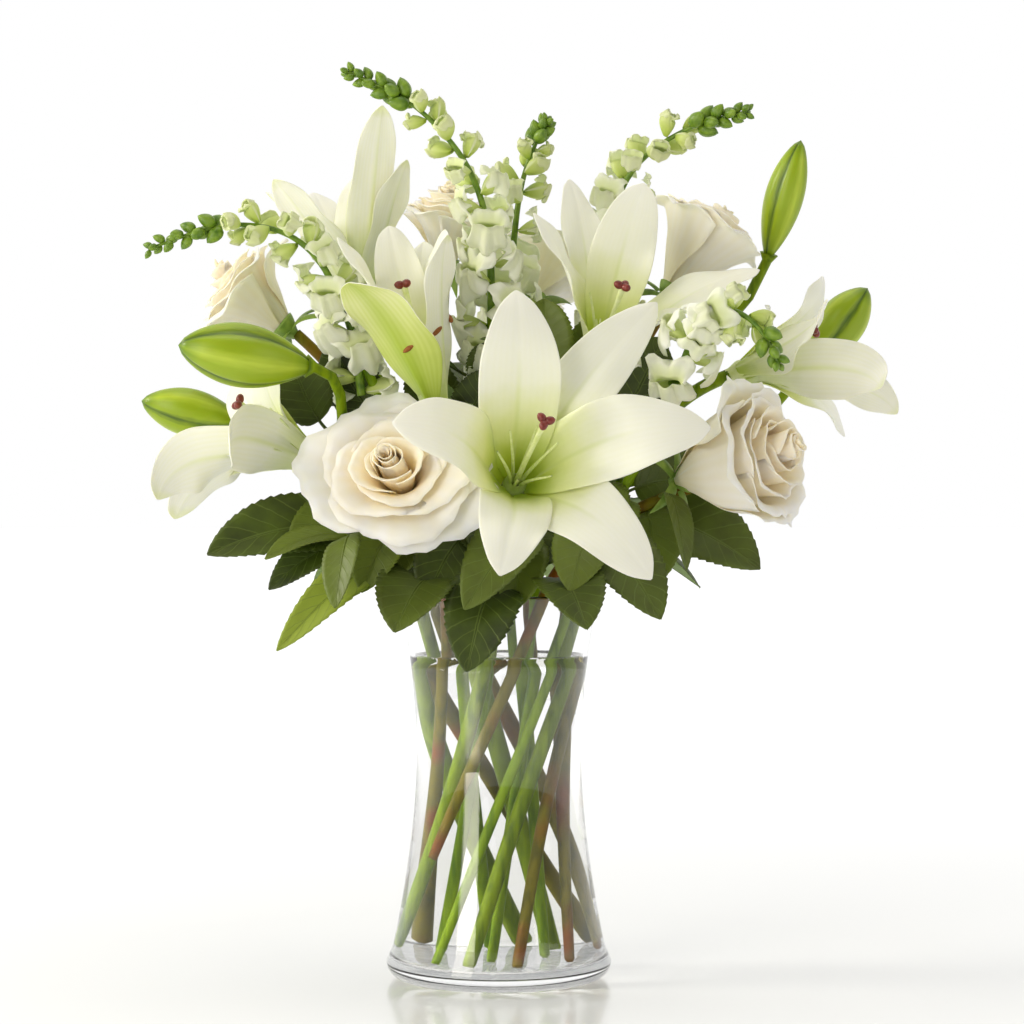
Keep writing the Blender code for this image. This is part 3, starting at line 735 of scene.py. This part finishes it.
def bend_rose_petal(mesh, rose, number, chance):
    """One petal as a strip of a cup: number counts from the tight heart outwards."""
    centre = above_rim(rose["centre"])
    axis = Vector(rose["axis"]).normalized()
    across_level = axis.cross(Vector((0, 0, 1))).normalized()
    level = across_level.cross(axis)
    radius, length, openness = rose["radius"], rose["length"], rose["open"]
    grown = (number / (ROSE_PETALS - 1)) ** 1.25
    turn = number * GOLDEN_TURN + chance.uniform(-0.25, 0.25)
    span = radians(128 - 60 * grown ** 0.8)
    cup = radius * (0.05 + (0.85 - 0.3 * openness) * grown ** 1.1)
    outer = max(grown - 0.3, 0) / 0.7
    flare = (radius * chance.uniform(0.92, 1.06) - cup) * outer * (0.3 + 0.7 * openness)
    top = length * (0.44 - (0.1 + 0.32 * openness) * grown ** 1.3 + chance.uniform(-0.035, 0.035))
    roll = 0.09 + 0.09 * outer
    phase = chance.uniform(0, 6.3)
    ruffle = radius * (0.004 + 0.055 * outer)
    heart = Vector(rose["heart"])

    def place(side, share):
        height = share * (1 - 0.13 * abs(side) ** 2.6)
        angle = turn + side * span * (0.5 + 0.5 * sin(pi / 2 * min(height * 1.7, 1)))
        foot_share = min(height / 0.5, 1)
        wall = max((height - 0.5) / 0.5, 0)
        rim = max((height - 0.84) / 0.16, 0)
        bowl = 0.16 + 0.84 * sin(pi / 2 * foot_share) ** 0.8
        cone = 0.14 + 0.86 * height ** 0.85
        around = cup * (bowl + (cone - bowl) * min(grown * 2.6, rose["cone"]))
        around *= 1 - 0.46 * (1 - grown) * wall ** 1.5 + 0.1 * side * (1 - 0.5 * grown)
        around += flare * wall ** 1.4 + roll * radius * 0.42 * rim ** 1.5
        around += ruffle * wall ** 2 * sin(2.2 * side * pi + phase)
        around += 0.04 * radius * outer * rim * exp(-(side / 0.18) ** 2)
        rise = -length / 2 + (top + length / 2) * height ** (1 - 0.3 * outer)
        rise -= roll * length * 0.5 * rim ** 2
        rise += ruffle * 0.9 * wall ** 2 * sin(2.8 * side * pi + phase * 2)
        around += ruffle * 0.5 * rim * sin(7.3 * side * pi + phase * 3)
        lean = heart * (1 - grown) ** 0.7 * max((rise + length / 2) / length, 0) ** 1.4
        way = level * cos(angle) * rose["squash"] + across_level * sin(angle)
        return centre + axis * rise + way * around + lean

    faces = bend_grid(mesh, 24, 18, place, layer=max(1 - grown * 1.35, 0) ** 0.8)[1]
    face_towards(faces, axis)


# The petals run warmer and a little darker towards each foot: partly the rose's own peach, partly painted
# shade where the petals tuck into one another.
rose_petal = sheet_material(
    "rose petal, velvety",
    [(0.0, "#F9E9C2"), (0.4, "#FCF2D8"), (0.72, "#FEF7E4"), (0.9, "#FEF9EA"), (1.0, "#FEFAEE")],
    "#FBF2DA", 0.05, 0.8, 3.0, "#FEFDF8", 0.5, 0.5, 0.06, heart="#FFF4DE",
)
sepal_skin = waxy_material("rose sepal", "#8FA84A", "#6C8B33", 200, 0.5)
for name, rose in ROSES.items():
    chance = random.Random(f"{name} petals")
    mesh = bmesh.new()
    for number in range(ROSE_PETALS):
        bend_rose_petal(mesh, rose, number, chance)
    head = add_piece(f"{name}_petals", mesh, [rose_petal], [f"{name}_head"])
    thicken(head, ROSE_PETAL_THICKNESS, 0)

    axis = Vector(rose["axis"]).normalized()
    foot = above_rim(rose["centre"]) - axis * rose["length"] / 2
    level = axis.orthogonal().normalized()
    mesh = bmesh.new()
    hip = straight(foot - axis * 5, foot + axis * 7)
    bend_tube(
        mesh, hip, lambda share: 2.6 + 5.5 * sin(pi / 2 * share) ** 1.5 if share < 0.97 else 0.0, 14, 10
    )
    for index in range(5):
        turn = 2 * pi * index / 5 + 0.4
        way = level * cos(turn) + axis.cross(level) * sin(turn)
        fall = chance.uniform(-0.5, 0.5)
        sepal = (
            foot + way * 5, foot + way * 16 + axis * 2, foot + way * 24 - axis * (4 + 6 * fall),
            foot + way * 31 - axis * (12 + 14 * fall),
        )

        def blade(side, share, sepal=sepal, way=way, axis=axis):
            half = 4.6 * (1 - share) ** 0.7 * (0.75 + 0.25 * sin(pi * share))
            heading = bezier_heading(sepal, share)
            wide = axis.cross(way)
            return bezier(sepal, share) + wide * half * side + wide.cross(heading) * half * 0.35 * side * side

        face_towards(bend_grid(mesh, 4, 12, blade)[1], axis)
    add_piece(f"{name}_sepals", mesh, [sepal_skin])

# The snapdragons: arching spikes. Ruffled white two-lipped florets open from the bottom up, half-open lime
# ones follow, and small green buds with pointed bracts run to the tip.
SNAPDRAGONS = {
    "snapdragon_1": (
        (-73, -8, 106), (-77, -8, 135), (-86, -10, 160), (-99, -14, 182), (-121, -20, 194), (-149, -26, 194),
        (-184, -30, 182),
    ),
    "snapdragon_2": (
        (-4, -4, 118), (-4, -6, 150), (-5, -10, 185), (-12, -16, 218), (-30, -20, 245), (-52, -24, 263),
        (-80, -26, 276),
    ),
    "snapdragon_3": (
        (62, 54, 140), (62, 52, 168), (62, 50, 200), (70, 46, 228), (90, 40, 247), (112, 32, 257),
        (135, 25, 262),
    ),
    "snapdragon_4": (
        (92, -56, 110), (99, -72, 131), (108, -83, 143), (119, -90, 145), (131, -94, 136), (141, -96, 118),
    ),
    "snapdragon_5": (
        (5, 26, 118), (6, 30, 150), (7, 34, 180), (10, 36, 210), (14, 36, 230), (20, 36, 246), (26, 34, 258),
    ),
}
OPEN_SHARE = 0.64
HALF_OPEN_SHARE = 0.78
SPIKE_RUNS = 5
TUBE_SHARE = 0.35
FLORET_THICKNESS = 0.35


def along_points(points, share):
    """A place and heading on the smooth line through the points."""
    count = len(points) - 1
    index = min(whole(share * count), count - 1)
    before = points[max(index - 1, 0)]
    low, high = points[index], points[index + 1]
    after = points[min(index + 2, count)]
    piece = (low, low + (high - before) / 6, high - (after - low) / 6, high)
    part = share * count - index
    return bezier(piece, part), bezier_heading(piece, part)


def bend_floret(mesh, root, heading, up, size, openness, chance):
    """A floret: a tube, a hood of two ruffled lobes, and three lower lobes whose pouch shuts the mouth."""
    wide = heading.cross(up).normalized()
    lift = wide.cross(heading).normalized()
    if lift.dot(up) < 0:
        lift.negate()
    roll = chance.uniform(-0.45, 0.45)
    wide, lift = wide * cos(roll) + lift * sin(roll), lift * cos(roll) - wide * sin(roll)
    phase = chance.uniform(0, 6.3)
    tube = size * (8 + 3 * openness)
    hood = size * chance.uniform(10.0, 14.0)
    chin = size * chance.uniform(8.0, 11.5)
    crumple = chance.uniform(0.6, 1.4)

    def place(side, share):
        angle = side * pi
        upper = sin(angle)
        throat = min(share / TUBE_SHARE, 1)
        lip = max((share - TUBE_SHARE) / (1 - TUBE_SHARE), 0)
        around = size * (2.2 + 3.3 * sin(pi / 2 * throat))
        forward = tube * throat
        if upper > 0:
            reach = hood * upper ** 0.3 * (0.76 - 0.24 * cos(4 * (angle - pi / 2)))
            forward += size * (5.5 * lip - (1 + 7 * openness) * lip ** 2)
            raised = -size * 4.2 * exp(-((lip - 0.14) / 0.16) ** 2) * upper
        else:
            pouch = exp(-((lip - 0.3) / 0.2) ** 2) * (-upper) ** 0.6
            reach = chin * (-upper) ** 0.3 * (0.76 + 0.24 * cos(6 * (angle + pi / 2)))
            forward += size * (6 * lip - (2 + 10 * openness) * lip ** 2 + 4.4 * pouch)
            raised = size * 8.8 * pouch * (0.4 + 0.6 * openness)
        around += reach * lip ** 0.9 * openness - around * 0.92 * (1 - openness) * lip ** 2
        around += size * 1.1 * lip * sin(5 * angle + phase) * openness
        crease = 1.6 * sin(7 * angle + phase * 2) + 1.3 * crumple * sin(12 * angle - phase + 2 * lip)
        forward += size * crease * (0.2 + openness) * lip ** 2
        return root + heading * forward + (wide * cos(angle) + lift * sin(angle)) * around + lift * raised

    points = bend_grid(mesh, 48, 16, place, layer=0.75 * (1 - openness))[0]
    bmesh.ops.remove_doubles(mesh, verts=points, dist=WELD * MM)


def bend_bract(mesh, root, heading, up, length, width):
    """A small pointed leaf, cupped over what it shields."""
    wide = heading.cross(up).normalized()
    bow = root + heading * length * 0.75 + up * length * 0.06
    line = (root, root + heading * length * 0.4, bow, root + heading * length)

    def place(side, share):
        half = width / 2 * sin(pi * (0.14 + 0.86 * share)) ** 0.8
        return bezier(line, share) + wide * half * side - up * half * 0.5 * side * side + up * half * 0.3

    bend_grid(mesh, 4, 7, place)


snap_petal = sheet_material(
    "snapdragon petal, ruffled",
    [(0.0, "#C2D660"), (0.25, "#DFEA9E"), (0.5, "#EFF5C4"), (0.72, "#FCFDEC"), (1.0, "#FFFFF6")],
    "#F3F6D4", 0.05, 0.5, 3.0, "#FFFFFA", 0.5, 0.35, 0.1, heart="#D5E46E", scatter=(0.9, 1.0, 0.75),
)
snap_green = waxy_material("snapdragon bud skin", "#86A42E", "#4E7218", 220, 0.4)
for name, places in SNAPDRAGONS.items():
    chance = random.Random(f"{name} florets")
    points = [above_rim(place) for place in places]
    petals = bmesh.new()
    greens = bmesh.new()
    length = sum((high - low).length for low, high in zip(points, points[1:]))
    turn = chance.uniform(0, 6.3)
    travelled = 4.0
    while travelled < length:
        share = travelled / length
        spot, along = along_points(points, share)
        level = along.orthogonal().normalized()
        way = level * cos(turn) + along.cross(level) * sin(turn)
        if share < OPEN_SHARE:
            openness = max(1 - 0.7 * (share / OPEN_SHARE) ** 2.4, 0.3) * chance.uniform(0.85, 1.0)
            size = (1.24 - 0.2 * share / OPEN_SHARE) * chance.uniform(0.9, 1.08)
            sway = level.cross(along) * chance.uniform(-0.3, 0.3) + level * chance.uniform(-0.3, 0.3)
            heading = (way * 0.85 + sway + along * (chance.uniform(0, 0.35) + 0.4 * share)).normalized()
            tilt = (along * 0.8 + Vector((0, 0, 1)) * 0.4).normalized()
            bend_floret(petals, spot + way * 2, heading, tilt, size, openness, chance)
            bend_bract(greens, spot + way * 1.5, (heading - along * 0.25).normalized(), -along, 10, 5.5)
            step = 7.6 - 1.6 * share
        elif share < HALF_OPEN_SHARE:
            size = (1.1 - 2.0 * (share - OPEN_SHARE)) * chance.uniform(0.92, 1.05)
            heading = (way * 0.75 + along * 0.65).normalized()
            bend_floret(petals, spot + way * 1.6, heading, along, size, 0.24, chance)
            bend_bract(greens, spot + way * 1.4, heading, -way, 8, 5)
            step = 5.4
        else:
            grain = 1.35 - 0.85 * (share - HALF_OPEN_SHARE) / (1 - HALF_OPEN_SHARE)
            heading = (way * 0.62 + along * 0.85).normalized()
            bud = straight(spot + way * 1.0, spot + way * 1.5 + heading * 9.5 * grain)
            bend_tube(greens, bud, lambda part, grain=grain: 3.2 * grain * sin(pi * part ** 0.8) ** 0.7, 8, 8)
            bract = (heading + way * 0.5).normalized()
            bend_bract(greens, spot + way * 1.2, bract, -along, 6.5 * grain, 3.4 * grain)
            step = 2.5 * (0.5 + 0.5 * grain)
        travelled += step
        turn += GOLDEN_TURN
    for run in range(SPIKE_RUNS):
        low, low_way = along_points(points, run / SPIKE_RUNS)
        high, high_way = along_points(points, (run + 1) / SPIKE_RUNS)
        pull = (high - low).length / 3
        line = (low, low + low_way * pull, high - high_way * pull, high)
        bend_tube(greens, line, lambda part, run=run: 2.5 - 1.7 * (run + part) / SPIKE_RUNS, 8, 8)
    florets = add_piece(f"{name}_petals", petals, [snap_petal], [f"{name}_florets"])
    thicken(florets, FLORET_THICKNESS, 0)
    add_piece(f"{name}_buds", greens, [snap_green])

# The leaves: rose leaves, oval and pointed with a saw-toothed edge, dark and waxy above, paler and dull
# beneath, with a sunk midrib and side veins. They hang over the rim as a collar and fill the bouquet's heart.
FRONT = (0, -0.8, 0.5)
LEAVES = {
    "leaf_1": dict(tip=(-151, -48, 22), width=36, face=FRONT),
    "leaf_2": dict(tip=(-112, -84, -26), width=22, face=FRONT),
    "leaf_3": dict(tip=(-52, -98, -16), width=38, face=(0, -0.6, 0.7)),
    "leaf_4": dict(tip=(-16, -96, -36), width=37, face=(0, -0.8, 0.3)),
    "leaf_5": dict(tip=(44, -112, -14), width=34, face=(0, -0.6, 0.7)),
    "leaf_6": dict(tip=(82, -88, -10), width=34, face=FRONT),
    "leaf_7": dict(tip=(138, -22, 14), width=40, face=FRONT),
    "leaf_8": dict(tip=(40, 112, 2), width=40, face=(0, 0.5, 0.7)),
    "leaf_9": dict(tip=(-92, 82, 6), width=40, face=(0, 0.5, 0.7)),
}
# The small leaves: start, tip, width and the way the blade faces.
SMALL_LEAVES = (
    ((-62, -20, 40), (-109, -45, 27), 27, FRONT),
    ((-70, -40, 28), (-120, -60, 20), 17, (0, -0.5, 0.8)),
    ((-66, -30, 24), (-119, -50, 4), 21, FRONT),
    ((-74, -62, 30), (-82, -95, -4), 20, (-0.4, -0.8, 0.2)),
    ((-50, -40, 30), (-70, -70, 3), 26, FRONT),
    ((-36, -36, 34), (-58, -60, 8), 26, FRONT),
    ((30, -50, 32), (-17, -90, -5), 32, FRONT),
    ((52, -44, 30), (36, -84, 4), 30, FRONT),
    ((84, -40, 52), (97, -60, 14), 15, (0.6, -0.7, 0.1)),
    ((76, -20, 42), (82, -40, 6), 32, FRONT),
    ((-26, -14, 84), (-4, -24, 118), 26, (0.2, -0.9, 0.1)),
    ((10, -22, 40), (-14, -62, 26), 32, FRONT),
    ((40, -10, 44), (62, -52, 34), 34, FRONT),
    ((-40, -6, 46), (-84, -20, 52), 34, FRONT),
    ((64, 4, 52), (112, -14, 58), 34, FRONT),
    ((20, 10, 70), (34, -18, 118), 30, (0, -0.9, 0.2)),
    ((-16, 20, 80), (-46, 6, 128), 30, (0, -0.9, 0.2)),
    ((30, 30, 96), (56, 12, 150), 30, (0, -0.9, 0.3)),
    ((-8, -38, 30), (-38, -66, -2), 32, FRONT),
    ((14, -40, 26), (8, -74, -6), 30, FRONT),
    ((-20, -30, 40), (4, -58, 14), 32, FRONT),
    ((44, -30, 34), (20, -60, 16), 30, FRONT),
    ((-54, -24, 44), (-40, -56, 22), 32, FRONT),
    ((66, -24, 50), (52, -54, 16), 30, FRONT),
    ((-90, 0, 86), (-112, -24, 126), 28, (0, -0.9, 0.2)),
    ((56, -2, 84), (88, -34, 134), 34, (0.1, -0.9, 0.2)),
    ((40, 12, 100), (62, -12, 140), 32, (0, -0.9, 0.2)),
    ((26, 8, 110), (24, -4, 158), 30, (0.1, -0.9, 0.1)),
    ((-60, 10, 90), (-92, 0, 136), 30, (-0.1, -0.9, 0.2)),
)
LEAF_TEETH = 21
LEAF_FOLD = 0.3
LEAF_THICKNESS = 0.35
LEAF_STALK = 0.17
BACK_LEAVES = 10
INNER_LEAVES = 18


def leaf_width(share):
    """Half width along a leaf: a thin stalk, then an oval blade with a drawn-out tip."""
    if share < LEAF_STALK:
        return 0.03
    blade = (share - LEAF_STALK) / (1 - LEAF_STALK)
    return max(2.35 * blade ** 0.5 * (1 - blade) ** 0.82, 0.02)


def add_leaf(name, start, tip, width, face, fold, age, node=()):
    """One leaf as a piece: a folded, quilted blade with teeth, and a midrib that runs on as its stalk."""
    face = Vector(face).normalized()
    flat = tip - start
    reach = flat.length
    rise = (Vector((flat.x, flat.y, 0)).normalized() + Vector((0, 0, 0.6))).normalized()
    line = (start, start + rise * reach * 0.42, tip - flat * 0.25 + Vector((0, 0, reach * 0.1)), tip)

    def place(side, share):
        heading = bezier_heading(line, share)
        wide = heading.cross(face).normalized()
        lift = wide.cross(heading).normalized()
        if lift.dot(face) < 0:
            lift.negate()
        half = width / 2 * leaf_width(share)
        tooth = 1 + 0.09 * (1 - (share * LEAF_TEETH + 0.001) % 1) * abs(side) ** 4
        quilt = 0.35 * sin((share * 9 - abs(side) * 1.6) * 2 * pi) * abs(side) * (1 - abs(side)) * 4
        wave = 0.8 * sin(7 * share + 3 * side) * side * side
        raised = half * fold * abs(side) + quilt * 0.5 + wave
        return bezier(line, share) + wide * half * side * tooth + lift * raised

    mesh = bmesh.new()
    face_towards(bend_grid(mesh, 10, 4 * LEAF_TEETH, place, layer=age)[1], face)
    bend_tube(mesh, line, lambda share: 0.75 * (1 - share) + 0.08, 6, 24, layer=age)
    thicken(add_piece(name, mesh, [leaf_top, leaf_under], node), LEAF_THICKNESS, 0)


def leaf_material(name, dark, light, vein, roughness, coat):
    """Cloudy green, yellower with age, with a pale midrib and side veins sunk into it."""
    made, tree, shader = new_material(name, {
        "Roughness": roughness, "Coat Weight": coat, "Coat Roughness": 0.3,
    })
    across, up = sheet_place(tree, "sheet")[1:]
    away = maths(tree, "ABSOLUTE", maths(tree, "SUBTRACT", across, 0.5))
    slant = maths(tree, "MULTIPLY_ADD", away, -0.36, up)
    clouds = add_noise(tree, object_place(tree), 60.0, 5.0)
    wander = maths(tree, "MULTIPLY_ADD", clouds, 0.05, slant)
    fold = maths(tree, "PINGPONG", maths(tree, "MULTIPLY", wander, 10.0), 0.5)
    side_vein = remap(tree, fold, 0.0, 0.07, 0.6, 0.0)
    midrib = remap(tree, away, 0.012, 0.035, 1.0, 0.0)
    veins = maths(tree, "MAXIMUM", side_vein, midrib)
    greens = add_ramp(tree, [(0.3, dark), (0.7, light)], clouds)
    aged = mix(tree, sheet_place(tree, "layer")[1], greens, linear("#A3B63A"))
    relief = maths(tree, "MULTIPLY_ADD", veins, -1.0, clouds)
    finish_skin(tree, shader, mix(tree, veins, aged, linear(vein)), relief, 0.5, 0.35)
    return made


leaf_top = leaf_material("rose leaf, waxy top", "#1E2A04", "#44560C", "#6C7E34", 0.5, 0.06)
leaf_under = leaf_material("rose leaf, dull underside", "#6E8A4A", "#86A05E", "#A9BC82", 0.6, 0.0)
chance = random.Random("leaves")
for name, leaf in LEAVES.items():
    tip = above_rim(leaf["tip"])
    corners = [point.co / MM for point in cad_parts[name].data.vertices]
    start = max(corners, key=lambda corner: (corner - tip).length)
    age = 0.75 if name == "leaf_2" else chance.uniform(0, 0.18)
    add_leaf(f"{name}_blade", start, tip, leaf["width"], leaf["face"], LEAF_FOLD, age, [name])
for number, (start, tip, width, face) in enumerate(SMALL_LEAVES):
    fold = chance.uniform(0.15, 0.4)
    age = chance.uniform(0, 0.38)
    add_leaf(f"small_leaf_{number + 1}", above_rim(start), above_rim(tip), width, face, fold, age)
for number in range(BACK_LEAVES):
    turn = radians(-8 + 196 * number / (BACK_LEAVES - 1) + chance.uniform(-8, 8))
    around = Vector((cos(turn), sin(turn), 0))
    low = number % 2
    start = around * 44 + Vector((0, 0, VASE_HEIGHT + 22 + 16 * low))
    tip = around * chance.uniform(92, 112) + Vector((0, 0, VASE_HEIGHT + 4 + 40 * low))
    width = chance.uniform(30, 38)
    add_leaf(f"back_leaf_{number + 1}", start, tip, width, around + Vector((0, 0, 0.9)), LEAF_FOLD, 0.1)
for number in range(INNER_LEAVES):
    turn = number * GOLDEN_TURN
    around = Vector((cos(turn), sin(turn) * (1.0 if sin(turn) > 0 else 0.5), 0))
    level = VASE_HEIGHT + 52 + 4.4 * number
    start = around * 14 + Vector((4, 4, level - 14))
    tip = around * chance.uniform(58, 72) + Vector((4, 4, level + chance.uniform(10, 34)))
    width = chance.uniform(27, 34)
    add_leaf(f"inner_leaf_{number + 1}", start, tip, width, around + Vector((0, 0, 0.7)), LEAF_FOLD, 0.1)
